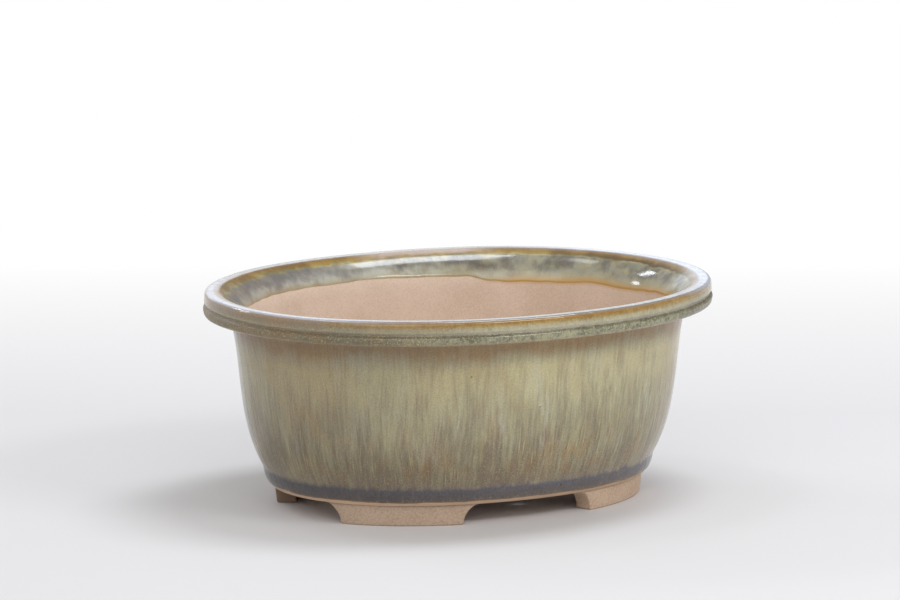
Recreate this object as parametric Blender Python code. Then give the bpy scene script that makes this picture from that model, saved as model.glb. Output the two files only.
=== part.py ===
"""Oval glazed bonsai pot on four low feet.

The pot is built of the clay pieces that are luted together before firing: a floor slab,
a flaring wall, a banded rim and four feet. Metres, +Z up, +X along the pot's length.
The feet stand on z = 0 and the oval is centred on the origin.
"""

from math import acos, asin, atan2, cos, hypot, pi, radians, sin

import bmesh
import bpy

MM = 0.001

# Reference oval, just inside the rim's lower band
LENGTH = 250.0 * MM
WIDTH = 201.4 * MM
OVAL_POWER = 2.08
OVAL_SIDES = 72

# Slip joint between two luted pieces
SLIP = 0.3 * MM

# Heights of the pieces, from the ground up
FOOT_HEIGHT = 9.6 * MM
SLAB_THICKNESS = 9.4 * MM
WALL_HEIGHT = 66.55 * MM
NECK_RISE = 5.0 * MM
LOWER_BAND_HEIGHT = 5.0 * MM
UPPER_BAND_HEIGHT = 6.5 * MM

SLAB_BOTTOM = FOOT_HEIGHT + SLIP
SLAB_TOP = SLAB_BOTTOM + SLAB_THICKNESS
NECK_HEIGHT = SLAB_TOP + WALL_HEIGHT + 0.5 * SLIP
UNDERSIDE_HEIGHT = NECK_HEIGHT + NECK_RISE
GROOVE_HEIGHT = UNDERSIDE_HEIGHT + LOWER_BAND_HEIGHT
RIM_TOP = GROOVE_HEIGHT + UPPER_BAND_HEIGHT

# Rim: insets are measured inwards from the reference oval
RIM_EDGE_INSET = 0.2 * MM
RIM_INNER_INSET = 6.6 * MM
UPPER_BAND_INSET = 0.0 * MM
GROOVE_INSET = 1.3 * MM
LOWER_BAND_INSET = -0.7 * MM
LOWER_EDGE_INSET = 0.3 * MM
GROOVE_SHOULDER = 1.3 * MM
UNDERSIDE_FALL = 0.9 * MM
RIM_OUTER_RADIUS = 1.9 * MM
RIM_INNER_RADIUS = 1.2 * MM
GROOVE_LIP_RADIUS = 0.8 * MM
GROOVE_RADIUS = 0.45 * MM
BAND_RADIUS = 1.5 * MM
COVE_RADIUS = 3.2 * MM
SLOPE_FOOT_REACH = 0.66
SLOPE_TOP_LEAN = radians(68.5)
SLOPE_TOP_REACH = 0.27

# Wall
NECK_INSET = 13.1 * MM
WALL_THICKNESS = 6.6 * MM
WALL_FOOT_INSET = 27.4 * MM
WALL_FOOT_LEAN = radians(29.6)
WALL_TOP_LEAN = radians(13.0)
WALL_FOOT_REACH = 0.362
WALL_TOP_REACH = 0.317
COVE_HEIGHT = 4.6 * MM
COVE_WIDTH = 3.6 * MM
COVE_TOE = 0.8 * MM

# Floor slab
SLAB_TOP_INSET = 27.6 * MM
SLAB_BOTTOM_INSET = 31.6 * MM
SLAB_BOTTOM_LEAN = radians(47.0)
SLAB_TOP_LEAN = radians(4.5)
SLAB_BOTTOM_REACH = 0.33
SLAB_TOP_REACH = 0.40
DRAIN_RADIUS = 11.0 * MM
DRAIN_X = 45.0 * MM
WIRE_HOLE_RADIUS = 2.5 * MM
WIRE_HOLE_X = 16.0 * MM
WIRE_HOLE_Y = 32.0 * MM

# Feet
FOOT_TOP_INSET = 33.1 * MM
FOOT_BOTTOM_INSET = 34.0 * MM
FOOT_THICKNESS = 9.5 * MM
ARCH_HALF_LENGTH = 34.8 * MM
ARCH_HALF_WIDTH = 29.8 * MM
ARCH_OVERRUN = 0.75 * MM
EDGE_ROUND = 0.8 * MM


def remove_start_objects():
    for thing in list(bpy.data.objects):
        bpy.data.objects.remove(thing)


def new_collection(name):
    collection = bpy.data.collections.new(name)
    bpy.context.scene.collection.children.link(collection)
    return collection


def fired_material(name, colour, roughness, coat):
    material = bpy.data.materials.new(name)
    material.use_nodes = True
    shader = material.node_tree.nodes["Principled BSDF"]
    shader.inputs["Base Color"].default_value = (*colour, 1.0)
    shader.inputs["Roughness"].default_value = roughness
    shader.inputs["Metallic"].default_value = 0.0
    shader.inputs["Coat Weight"].default_value = coat
    shader.inputs["Coat Roughness"].default_value = 0.08
    material.diffuse_color = (*colour, 1.0)
    return material


# The oval and its inward offsets
def oval_point(angle):
    power = 2.0 / OVAL_POWER
    x = 0.5 * LENGTH * abs(cos(angle)) ** power
    y = 0.5 * WIDTH * abs(sin(angle)) ** power
    return x, y


def oval_normal(x, y):
    along = (x / (0.5 * LENGTH)) ** (OVAL_POWER - 1.0) / LENGTH
    across = (y / (0.5 * WIDTH)) ** (OVAL_POWER - 1.0) / WIDTH
    size = hypot(along, across)
    return along / size, across / size


def quarter_oval():
    """Points at equal steps along a quarter of the oval, from the +X end to the +Y side."""
    fine = [oval_point(0.5 * pi * k / 2000) for k in range(2001)]
    run = [0.0]
    for before, after in zip(fine, fine[1:]):
        run.append(run[-1] + hypot(after[0] - before[0], after[1] - before[1]))
    points = []
    place = 0
    steps = OVAL_SIDES // 4
    for k in range(steps + 1):
        wanted = run[-1] * k / steps
        while run[place + 1] < wanted and place < len(run) - 2:
            place += 1
        share = (wanted - run[place]) / (run[place + 1] - run[place])
        x = fine[place][0] + share * (fine[place + 1][0] - fine[place][0])
        y = fine[place][1] + share * (fine[place + 1][1] - fine[place][1])
        points.append((x, y))
    points[0] = (0.5 * LENGTH, 0.0)
    points[-1] = (0.0, 0.5 * WIDTH)
    return points


def whole_oval():
    first = quarter_oval()
    second = [(-x, y) for x, y in reversed(first[:-1])]
    upper = first + second
    lower = [(x, -y) for x, y in reversed(upper[1:-1])]
    return upper + lower


def foot_arc(side_x, side_y):
    """The stretch of the oval over one foot, run clockwise round the pot."""
    points = [(side_x * x, side_y * y) for x, y in quarter_oval()[1:-1]]
    if side_x * side_y > 0:
        points.reverse()
    return points


def foot_end(long_side):
    """Where a foot's outer line meets the arch on its long or short side, and the outward normal there."""
    low, high = 0.0, 0.5 * pi
    for _ in range(40):
        angle = 0.5 * (low + high)
        x, y = oval_point(angle)
        nx, ny = oval_normal(x, y)
        place = (x - nx * FOOT_BOTTOM_INSET, y - ny * FOOT_BOTTOM_INSET)
        if long_side:
            short_of_arch = place[0] > ARCH_HALF_LENGTH
        else:
            short_of_arch = place[1] < ARCH_HALF_WIDTH
        if short_of_arch:
            low = angle
        else:
            high = angle
    return place, (nx, ny)


# Profiles: (inset, height) points, run up the outside and down the inside
def arc_corner(before, corner, after, radius, steps):
    """The corner rounded to an arc that meets both of its sides."""
    ax, az = before[0] - corner[0], before[1] - corner[1]
    bx, bz = after[0] - corner[0], after[1] - corner[1]
    la, lb = hypot(ax, az), hypot(bx, bz)
    ax, az, bx, bz = ax / la, az / la, bx / lb, bz / lb
    half_cos = ((1.0 + ax * bx + az * bz) / 2.0) ** 0.5
    half_sin = (1.0 - half_cos * half_cos) ** 0.5
    reach = radius * half_cos / half_sin
    start = (corner[0] + ax * reach, corner[1] + az * reach)
    end = (corner[0] + bx * reach, corner[1] + bz * reach)
    mid = hypot(ax + bx, az + bz)
    distance = radius / half_sin
    centre = (corner[0] + (ax + bx) / mid * distance, corner[1] + (az + bz) / mid * distance)
    sx, sz = start[0] - centre[0], start[1] - centre[1]
    ex, ez = end[0] - centre[0], end[1] - centre[1]
    turn = pi - 2.0 * acos(half_cos)
    if sx * ez - sz * ex < 0:
        turn = -turn
    points = []
    for k in range(steps + 1):
        angle = turn * k / steps
        x = centre[0] + sx * cos(angle) - sz * sin(angle)
        z = centre[1] + sx * sin(angle) + sz * cos(angle)
        points.append((x, z))
    return points


def rounded(corners):
    """A closed outline from (inset, height, radius, steps) corners; radius 0 keeps a corner sharp."""
    points = []
    count = len(corners)
    for k, (x, z, radius, steps) in enumerate(corners):
        if radius == 0:
            points.append((x, z))
            continue
        before = corners[k - 1]
        after = corners[(k + 1) % count]
        points.extend(arc_corner(before, (x, z), after, radius, steps))
    return points


def bezier(start, start_lean, start_reach, end, end_lean, end_reach, steps):
    """A curve up from start to end. A lean is its angle out from the vertical there, and a reach
    is how far that lean is held, as a share of the rise."""
    rise = end[1] - start[1]
    low, high = rise * start_reach, rise * end_reach
    first = (start[0] - low * sin(start_lean), start[1] + low * cos(start_lean))
    last = (end[0] + high * sin(end_lean), end[1] - high * cos(end_lean))
    points = []
    for k in range(steps + 1):
        t = k / steps
        weights = ((1 - t) ** 3, 3 * t * (1 - t) ** 2, 3 * t * t * (1 - t), t ** 3)
        knots = (start, first, last, end)
        x = sum(w * p[0] for w, p in zip(weights, knots))
        z = sum(w * p[1] for w, p in zip(weights, knots))
        points.append((x, z))
    return points


def rim_profile():
    bottom = NECK_HEIGHT + 0.5 * SLIP
    inner_neck = NECK_INSET + WALL_THICKNESS
    slope = bezier((inner_neck, bottom), WALL_TOP_LEAN, SLOPE_FOOT_REACH,
                   (RIM_INNER_INSET, RIM_TOP), SLOPE_TOP_LEAN, SLOPE_TOP_REACH, 9)
    bands = [
        (NECK_INSET, bottom, 0, 0),
        (NECK_INSET, UNDERSIDE_HEIGHT - UNDERSIDE_FALL, COVE_RADIUS, 4),
        (LOWER_EDGE_INSET, UNDERSIDE_HEIGHT, BAND_RADIUS, 3),
        (LOWER_BAND_INSET, GROOVE_HEIGHT - GROOVE_SHOULDER, BAND_RADIUS, 3),
        (GROOVE_INSET, GROOVE_HEIGHT, GROOVE_RADIUS, 2),
        (UPPER_BAND_INSET, GROOVE_HEIGHT + GROOVE_SHOULDER, GROOVE_LIP_RADIUS, 2),
        (RIM_EDGE_INSET, RIM_TOP, RIM_OUTER_RADIUS, 4),
        (RIM_INNER_INSET, RIM_TOP, RIM_INNER_RADIUS, 3),
    ]
    return rounded(bands + [(x, z, 0, 0) for x, z in reversed(slope[:-1])])


def wall_profile():
    bottom = SLAB_TOP + SLIP
    top = NECK_HEIGHT - 0.5 * SLIP
    inner_foot = WALL_FOOT_INSET + WALL_THICKNESS
    inner_neck = NECK_INSET + WALL_THICKNESS
    outer = bezier((WALL_FOOT_INSET, bottom), WALL_FOOT_LEAN, WALL_FOOT_REACH,
                   (NECK_INSET, top), WALL_TOP_LEAN, WALL_TOP_REACH, 9)
    inner = bezier((inner_foot, bottom + COVE_HEIGHT), WALL_FOOT_LEAN, WALL_FOOT_REACH,
                   (inner_neck, top), WALL_TOP_LEAN, WALL_TOP_REACH, 7)
    inner.reverse()
    cove_fall = COVE_HEIGHT - COVE_TOE
    cove = [(inner_foot + COVE_WIDTH * share ** 2, bottom + COVE_HEIGHT - cove_fall * share)
            for share in (0.35, 0.65, 1.0)]
    return outer + inner + cove + [(inner_foot + COVE_WIDTH, bottom)]


def slab_profile():
    """Open profile of the slab's moulded edge, from the underside up to the top."""
    return bezier((SLAB_BOTTOM_INSET, SLAB_BOTTOM), SLAB_BOTTOM_LEAN, SLAB_BOTTOM_REACH,
                  (SLAB_TOP_INSET, SLAB_TOP), SLAB_TOP_LEAN, SLAB_TOP_REACH, 7)


def foot_profile():
    return rounded([
        (FOOT_BOTTOM_INSET, 0.0, EDGE_ROUND, 2),
        (FOOT_TOP_INSET, FOOT_HEIGHT, 0, 0),
        (FOOT_TOP_INSET + FOOT_THICKNESS, FOOT_HEIGHT, 0, 0),
        (FOOT_BOTTOM_INSET + FOOT_THICKNESS, 0.0, EDGE_ROUND, 2),
    ])


# Sweeps of a profile round the oval
def poly_curve(name, points, closed, collection):
    curve = bpy.data.curves.new(name, "CURVE")
    curve.dimensions = "2D"
    curve.fill_mode = "NONE"
    spline = curve.splines.new("POLY")
    spline.points.add(len(points) - 1)
    for knot, (x, y) in zip(spline.points, points):
        knot.co = (x, y, 0.0, 1.0)
    spline.use_cyclic_u = closed
    thing = bpy.data.objects.new(name, curve)
    collection.objects.link(thing)
    return thing


def swept(name, path_points, path_closed, profile_points, profile_closed, collection):
    profile = poly_curve(name + "_profile", profile_points, profile_closed, collection)
    path = poly_curve(name + "_path", path_points, path_closed, collection)
    path.data.bevel_mode = "OBJECT"
    path.data.bevel_object = profile
    path.data.use_fill_caps = not path_closed
    bpy.context.view_layer.update()
    graph = bpy.context.evaluated_depsgraph_get()
    mesh = bpy.data.meshes.new_from_object(path.evaluated_get(graph))
    mesh.name = name
    shape = bmesh.new()
    shape.from_mesh(mesh)
    bmesh.ops.remove_doubles(shape, verts=shape.verts, dist=0.01 * MM)
    if not profile_closed:
        bmesh.ops.holes_fill(shape, edges=shape.edges, sides=0)
    bmesh.ops.recalc_face_normals(shape, faces=shape.faces)
    shape.to_mesh(mesh)
    shape.free()
    thing = bpy.data.objects.new(name, mesh)
    thing.matrix_world = path.matrix_world.copy()
    collection.objects.link(thing)
    bpy.data.objects.remove(path)
    bpy.data.objects.remove(profile)
    return thing


# Cutters
def as_cutter(thing):
    thing.hide_render = True
    thing.display_type = "WIRE"
    return thing


def hole_cutter(name, x, y, radius, sides, collection):
    mesh = bpy.data.meshes.new(name)
    shape = bmesh.new()
    bmesh.ops.create_cone(shape, cap_ends=True, segments=sides, radius1=radius, radius2=radius,
                          depth=3.0 * SLAB_THICKNESS)
    shape.to_mesh(mesh)
    shape.free()
    thing = bpy.data.objects.new(name, mesh)
    thing.location = (x, y, 0.5 * (SLAB_TOP + SLAB_BOTTOM))
    collection.objects.link(thing)
    return as_cutter(thing)


def arch_cutter(name, long_side, side_x, side_y, collection):
    """Block that cuts one end of a foot square to the oval, with the round of the arch beside it."""
    (x, y), (nx, ny) = foot_end(long_side)
    towards = (-ny, nx) if long_side else (ny, -nx)
    radius = FOOT_HEIGHT + ARCH_OVERRUN
    first = asin(EDGE_ROUND / radius)
    last = asin((FOOT_HEIGHT + 0.5 * ARCH_OVERRUN) / radius)
    outline = [(-2.0 * EDGE_ROUND, -EDGE_ROUND)]
    for k in range(8):
        angle = first + (last - first) * k / 7
        outline.append((radius - radius * cos(angle), radius * sin(angle)))
    far = 0.5 * LENGTH
    outline += [(far, outline[-1][1]), (far, -EDGE_ROUND)]
    curve_thing = poly_curve(name + "_outline", outline, True, collection)
    curve_thing.data.fill_mode = "BOTH"
    curve_thing.data.extrude = 3.0 * FOOT_THICKNESS
    bpy.context.view_layer.update()
    graph = bpy.context.evaluated_depsgraph_get()
    mesh = bpy.data.meshes.new_from_object(curve_thing.evaluated_get(graph))
    mesh.name = name
    shape = bmesh.new()
    shape.from_mesh(mesh)
    bmesh.ops.remove_doubles(shape, verts=shape.verts, dist=0.01 * MM)
    bmesh.ops.recalc_face_normals(shape, faces=shape.faces)
    shape.to_mesh(mesh)
    shape.free()
    bpy.data.objects.remove(curve_thing)
    thing = bpy.data.objects.new(name, mesh)
    thing.location = (side_x * x, side_y * y, 0.0)
    thing.rotation_euler = (0.5 * pi, 0.0, atan2(side_y * towards[1], side_x * towards[0]))
    collection.objects.link(thing)
    return as_cutter(thing)


def cut(thing, cutter):
    boolean = thing.modifiers.new("cut_" + cutter.name, "BOOLEAN")
    boolean.operation = "DIFFERENCE"
    boolean.solver = "EXACT"
    boolean.object = cutter


def smooth(thing, limit):
    """Smooth shading, broken at edges sharper than the limit."""
    mesh = thing.data
    mesh.shade_smooth()
    shape = bmesh.new()
    shape.from_mesh(mesh)
    for edge in shape.edges:
        edge.smooth = not (edge.is_manifold and edge.calc_face_angle() > limit)
    shape.to_mesh(mesh)
    shape.free()


# The pieces
def build_floor_slab(parts, cutters, material):
    slab = swept("floor_slab", whole_oval(), True, slab_profile(), False, parts)
    for side in (-1, 1):
        word = "right" if side > 0 else "left"
        cut(slab, hole_cutter("drain_" + word, side * DRAIN_X, 0.0, DRAIN_RADIUS, 32, cutters))
    for side_x in (-1, 1):
        for side_y in (-1, 1):
            name = "wire_hole_%s_%s" % ("back" if side_y > 0 else "front", "right" if side_x > 0 else "left")
            cut(slab, hole_cutter(name, side_x * WIRE_HOLE_X, side_y * WIRE_HOLE_Y, WIRE_HOLE_RADIUS, 12,
                                  cutters))
    slab.data.materials.append(material)
    return slab


def build_wall(parts, material):
    wall = swept("pot_wall", whole_oval(), True, wall_profile(), True, parts)
    smooth(wall, radians(35.0))
    wall.data.materials.append(material)
    return wall


def build_rim(parts, material):
    rim = swept("rim", whole_oval(), True, rim_profile(), True, parts)
    smooth(rim, radians(50.0))
    rim.data.materials.append(material)
    return rim


def build_foot(side_x, side_y, parts, cutters, material):
    name = "foot_%s_%s" % ("back" if side_y > 0 else "front", "right" if side_x > 0 else "left")
    foot = swept(name, foot_arc(side_x, side_y), False, foot_profile(), True, parts)
    for word, long_side in (("long_side", True), ("short_side", False)):
        cut(foot, arch_cutter("arch_%s_of_%s" % (word, name), long_side, side_x, side_y, cutters))
    foot.data.materials.append(material)
    return foot


def build_pot():
    remove_start_objects()
    parts = new_collection("oval_bonsai_pot")
    cutters = new_collection("cutters")
    origin = bpy.data.objects.new("pot_origin", None)
    parts.objects.link(origin)
    pieces = [
        build_floor_slab(parts, cutters, fired_material("slab_clay", (0.40, 0.29, 0.21), 0.85, 0.0)),
        build_wall(parts, fired_material("wall_glaze", (0.31, 0.28, 0.18), 0.30, 0.6)),
        build_rim(parts, fired_material("rim_glaze", (0.30, 0.26, 0.16), 0.25, 0.7)),
    ]
    for side_x in (-1, 1):
        for side_y in (-1, 1):
            word = "foot_clay_%s_%s" % ("back" if side_y > 0 else "front", "right" if side_x > 0 else "left")
            clay = fired_material(word, (0.40, 0.29, 0.21), 0.85, 0.0)
            pieces.append(build_foot(side_x, side_y, parts, cutters, clay))
    for piece in pieces:
        piece.parent = origin


build_pot()
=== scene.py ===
"""Looks of the oval bonsai pot: a streaked ash glaze over buff stoneware, bare feet and inside.

Every piece is a swept or gridded mesh in metres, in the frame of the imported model. The glaze coat is
modelled: it stands proud of the bare clay, ends in a bead, and its wet runs ripple the wall.
"""

from math import atan, cos, pi, radians, sin

import bmesh
import bpy
import numpy as np
from mathutils import Matrix, Vector


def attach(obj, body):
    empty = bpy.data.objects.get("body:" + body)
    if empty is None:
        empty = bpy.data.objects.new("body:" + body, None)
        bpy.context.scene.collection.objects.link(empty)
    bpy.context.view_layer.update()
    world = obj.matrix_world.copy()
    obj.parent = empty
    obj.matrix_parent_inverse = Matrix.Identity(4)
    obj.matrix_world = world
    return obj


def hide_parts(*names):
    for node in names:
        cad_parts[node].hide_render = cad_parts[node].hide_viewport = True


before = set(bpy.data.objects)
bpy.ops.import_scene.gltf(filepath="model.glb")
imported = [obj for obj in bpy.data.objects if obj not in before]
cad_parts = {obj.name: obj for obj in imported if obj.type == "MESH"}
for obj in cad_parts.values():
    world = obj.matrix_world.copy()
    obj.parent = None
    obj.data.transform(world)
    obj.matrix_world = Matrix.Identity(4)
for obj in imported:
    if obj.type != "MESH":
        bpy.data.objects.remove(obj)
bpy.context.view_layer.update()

MM = 0.001

# The oval that every inset is measured from
HALF_LENGTH = 125.0 * MM
HALF_WIDTH = 100.7 * MM
OVAL_POWER = 2.08
AROUND = 760

# Heights
FOOT_TOP = 9.9 * MM
SLAB_TOP = 19.45 * MM
NECK = 86.0 * MM

# The fired coat: thickness, heights of its two edges, how fast it thickens, and the bead along the edge
COAT = 0.35 * MM
OUTER_LINE_HEIGHT = 11.5 * MM
INNER_LINE_HEIGHT = 91.6 * MM
COAT_RISE = 0.70 * MM
BEAD_SHARE, BEAD_PLACE, BEAD_WIDTH = 0.25, 0.9 * MM, 0.55 * MM

# Waves as (height, size, seed): of the coat's outer and inner edge, of the walls, and of the bare feet
OUTER_LINE_WAVES = ((0.35 * MM, 16 * MM, 11), (0.16 * MM, 4.5 * MM, 12))
INNER_LINE_WAVES = ((0.6 * MM, 24 * MM, 13), (0.35 * MM, 7 * MM, 14))
WANDER = ((0.20 * MM, 62 * MM, 3), (0.06 * MM, 21 * MM, 5))
FOOT_WAVES = ((0.05 * MM, 7 * MM, 31), (0.025 * MM, 2.6 * MM, 32))

# How far the coat's inner edge sags at the back as (depth, start, width) along x, and (start, width) of the
# stretch across which the sag comes in from the front
INNER_LINE_SAGS = ((0.9 * MM, 0.0, 45 * MM), (2.7 * MM, 55 * MM, 15 * MM))
SAG_ACROSS = (-50 * MM, 70 * MM)

# Ripples of the coat: size across and along the run, their share of its thickness outside and on the inner
# slope, the run length where they begin to calm and the stretch over which they do
RIPPLE_SIZE = np.array([2.6, 2.6, 26.0]) * MM
RIPPLE, INNER_RIPPLE = 0.16, 0.03
RIPPLE_END, RIPPLE_FADE = 110 * MM, 4 * MM
RIPPLE_SEED = 21


# Smooth value noise on a lattice
def lattice_value(cell, seed):
    h = (cell[..., 0] * 73856093) ^ (cell[..., 1] * 19349663) ^ (cell[..., 2] * 83492791) ^ (seed * 2654435)
    h = (h ^ (h >> 13)) * 1274126177
    h = h ^ (h >> 16)
    return (h & 0xFFFF) / 32767.5 - 1.0


def noise(points, seed):
    """Values between -1 and 1 that vary smoothly over one unit."""
    base = np.floor(points).astype(np.int64)
    f = points - base
    f = f * f * (3.0 - 2.0 * f)
    total = np.zeros(points.shape[:-1])
    for corner in range(8):
        step = np.array([corner & 1, (corner >> 1) & 1, (corner >> 2) & 1])
        weight = np.prod(np.where(step, f, 1.0 - f), axis=-1)
        total += weight * lattice_value(base + step, seed)
    return total


def waves(points, layers):
    """The sum of noises given as (height, size, seed)."""
    return sum(height * noise(points / size, seed) for height, size, seed in layers)


def smooth_step(share):
    share = np.clip(share, 0.0, 1.0)
    return share ** 2 * (3.0 - 2.0 * share)


# The oval
def oval(count):
    """Points and outward normals of the reference oval, at equal steps."""
    angle = np.linspace(0.0, 2.0 * pi, 40001)
    power = 2.0 / OVAL_POWER
    x = HALF_LENGTH * np.sign(np.cos(angle)) * np.abs(np.cos(angle)) ** power
    y = HALF_WIDTH * np.sign(np.sin(angle)) * np.abs(np.sin(angle)) ** power
    run = np.concatenate([[0.0], np.cumsum(np.hypot(np.diff(x), np.diff(y)))])
    wanted = np.linspace(0.0, run[-1], count + 1)[:-1]
    points = np.stack([np.interp(wanted, run, x), np.interp(wanted, run, y)], axis=1)
    gradient = np.sign(points) * np.abs(points / (HALF_LENGTH, HALF_WIDTH)) ** (OVAL_POWER - 1.0)
    gradient /= (HALF_LENGTH, HALF_WIDTH)
    return points, gradient / np.linalg.norm(gradient, axis=1, keepdims=True)


# Profiles as (inset, height) points
def arc_corner(before, corner, after, radius, steps):
    """Points of the arc that rounds a corner."""
    a = np.subtract(before, corner)
    b = np.subtract(after, corner)
    a /= np.linalg.norm(a)
    b /= np.linalg.norm(b)
    half_cos = ((1.0 + a @ b) / 2.0) ** 0.5
    half_sin = (1.0 - half_cos ** 2) ** 0.5
    start = np.add(corner, a * radius * half_cos / half_sin)
    centre = np.add(corner, (a + b) / np.linalg.norm(a + b) * radius / half_sin)
    end = np.add(corner, b * radius * half_cos / half_sin)
    arm, far = start - centre, end - centre
    turn = pi - 2.0 * np.arccos(half_cos)
    if arm[0] * far[1] - arm[1] * far[0] < 0:
        turn = -turn
    points = []
    for k in range(steps + 1):
        c, s = cos(turn * k / steps), sin(turn * k / steps)
        points.append((centre[0] + arm[0] * c - arm[1] * s, centre[1] + arm[0] * s + arm[1] * c))
    return points


def rounded(corners):
    """An open line through (inset, height, radius) corners in millimetres."""
    points = []
    for k, (x, z, radius) in enumerate(corners):
        if radius == 0:
            points.append((x, z))
        else:
            points.extend(arc_corner(corners[k - 1][:2], (x, z), corners[k + 1][:2], radius, 10))
    return points


def bezier(start, start_lean, start_reach, end, end_lean, end_reach):
    """A curve between two points that leaves and arrives at leans from the upright; reaches are shares of its rise."""
    rise = end[1] - start[1]
    low, high = rise * start_reach, rise * end_reach
    knots = np.array([start,
                      (start[0] - low * sin(start_lean), start[1] + low * cos(start_lean)),
                      (end[0] + high * sin(end_lean), end[1] - high * cos(end_lean)),
                      end])
    t = np.linspace(0.0, 1.0, 60)[:, None]
    curve = (1 - t) ** 3 * knots[0] + 3 * t * (1 - t) ** 2 * knots[1] + 3 * t * t * (1 - t) * knots[2]
    return [tuple(p) for p in curve + t ** 3 * knots[3]]


SLAB_EDGE = bezier((31.6, 9.9), radians(47.0), 0.33, (27.6, 19.3), radians(4.5), 0.40)
WALL_OUTSIDE = bezier((27.4, 19.6), radians(29.6), 0.362, (13.1, 85.85), radians(13.0), 0.317)
WALL_INSIDE = bezier((34.0, 24.2), radians(29.6), 0.362, (19.7, 85.85), radians(13.0), 0.317)
RIM_SLOPE = bezier((19.7, 86.15), radians(13.0), 0.66, (6.6, 102.5), radians(68.5), 0.27)[::-1]
RIM_LINE = rounded([
    (13.1, 86.0, 0), (13.1, 90.1, 3.2), (0.3, 91.0, 1.5), (-0.7, 94.7, 1.5), (1.3, 96.0, 0.45),
    (0.0, 97.3, 0.8), (0.2, 102.5, 1.9), (6.6, 102.5, 7.0), (*RIM_SLOPE[9], 0),
]) + RIM_SLOPE[10:]
INNER_TOE = [(34.6, 22.9), (35.7, 21.7), (37.6, 20.4), (38.4, 19.42)]
# Joints that are rubbed soft: height, whether on the inside, width
SOFT_JOINTS = [(19.45, False, 0.45), (86.0, False, 1.6), (86.0, True, 1.6)]


class Profile:
    """The section of the whole pot: up the outside, over the rim and down the inside, in metres."""

    # steps of the fine line in millimetres; width and spacing in metres of the closer rows at both ends
    STEP = 0.1
    END_WIDTH, END_SPACING = 0.6 * MM, 0.25 * MM

    def __init__(self, corners, soft_joints):
        corners = np.array(corners)
        run = np.concatenate([[0.0], np.cumsum(np.hypot(*np.diff(corners, axis=0).T))])
        self.run = np.arange(0.0, run[-1], self.STEP)
        line = np.stack([np.interp(self.run, run, corners[:, k]) for k in (0, 1)], axis=1)
        for height, inner, width in soft_joints:
            line = self.softened(line, self.run[self.crossing(line, height, inner)], width)
        self.line = line * MM
        self.run = self.run * MM
        tangent = np.gradient(line, axis=0)
        self.tangent = tangent / np.linalg.norm(tangent, axis=1, keepdims=True)

    def softened(self, line, middle, width):
        """The kink at one joint rubbed down over a width, the rest left as it is."""
        reach = int(4 * width / self.STEP)
        kernel = np.exp(-0.5 * (np.arange(-reach, reach + 1) * self.STEP / width) ** 2)
        kernel /= kernel.sum()
        padded = np.pad(line, ((reach, reach), (0, 0)), mode="edge")
        soft = np.stack([np.convolve(padded[:, k], kernel, mode="valid") for k in (0, 1)], axis=1)
        share = np.exp(-(((self.run - middle) / (2.2 * width)) ** 4))[:, None]
        return line + (soft - line) * share

    def crossing(self, line, height, inner):
        top = int(np.argmax(line[:, 1]))
        if inner:
            return top + int(np.argmax(line[top:, 1] < height))
        return int(np.argmax(line[:top, 1] > height))

    def at(self, height, inner=False):
        """Run length at which the section passes a height."""
        k = self.crossing(self.line, height, inner)
        a, b = self.line[k - 1, 1], self.line[k, 1]
        return self.run[k - 1] + (self.run[k] - self.run[k - 1]) * (height - a) / (b - a)

    def rows(self, start, end, spacing, fine=None):
        """Run lengths from start to end; fine is (middle, reach, spacing) of a closer stretch."""
        places = [start]
        while places[-1] < end - 0.4 * spacing:
            near_end = min(places[-1] - start, end - places[-1]) < self.END_WIDTH
            step = self.END_SPACING if near_end else spacing
            if fine and abs(places[-1] - fine[0]) < fine[1]:
                step = fine[2]
            places.append(places[-1] + step)
        places = np.array(places)
        return start + (places - start) * (end - start) / (places[-1] - start)

    def points(self, runs):
        return np.stack([np.interp(runs, self.run, self.line[:, k]) for k in (0, 1)], axis=1)

    def tangents(self, runs):
        return np.stack([np.interp(runs, self.run, self.tangent[:, k]) for k in (0, 1)], axis=1)


SECTION = Profile(SLAB_EDGE + [(27.55, 19.45)] + WALL_OUTSIDE + RIM_LINE + WALL_INSIDE[::-1] + INNER_TOE,
                  SOFT_JOINTS)
SLAB_JOINT = SECTION.at(SLAB_TOP)
NECK_JOINT = SECTION.at(NECK)
INNER_NECK_JOINT = SECTION.at(NECK, inner=True)
OUTER_GLAZE_LINE = SECTION.at(OUTER_LINE_HEIGHT)
INNER_GLAZE_LINE = SECTION.at(INNER_LINE_HEIGHT, inner=True)


# Swept pieces
def glaze_reach(flow):
    """Distance inside the wavy edge of the coat, below nought on bare clay."""
    around = flow * np.array([1, 1, 0])
    outer = OUTER_GLAZE_LINE + waves(around, OUTER_LINE_WAVES)
    inner = INNER_GLAZE_LINE + waves(around, INNER_LINE_WAVES) + inner_line_sag(around[..., 0], around[..., 1])
    return np.minimum(flow[..., 2] - outer, inner - flow[..., 2])


def inner_line_sag(x, y):
    """On the back the coat ends lower towards the right, most of it in one step."""
    sag = sum(depth * smooth_step((x - start) / width) for depth, start, width in INNER_LINE_SAGS)
    return sag * smooth_step((y - SAG_ACROSS[0]) / SAG_ACROSS[1])


def coat_thickness(reach):
    """Nothing, a fat bead along the edge, then the plain coat."""
    body = 1.0 - np.exp(-np.maximum(reach, 0.0) / COAT_RISE)
    bead = BEAD_SHARE * np.exp(-((reach - BEAD_PLACE) / BEAD_WIDTH) ** 2)
    return COAT * np.where(reach > 0, body * (1.0 + bead), 0.0)


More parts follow.
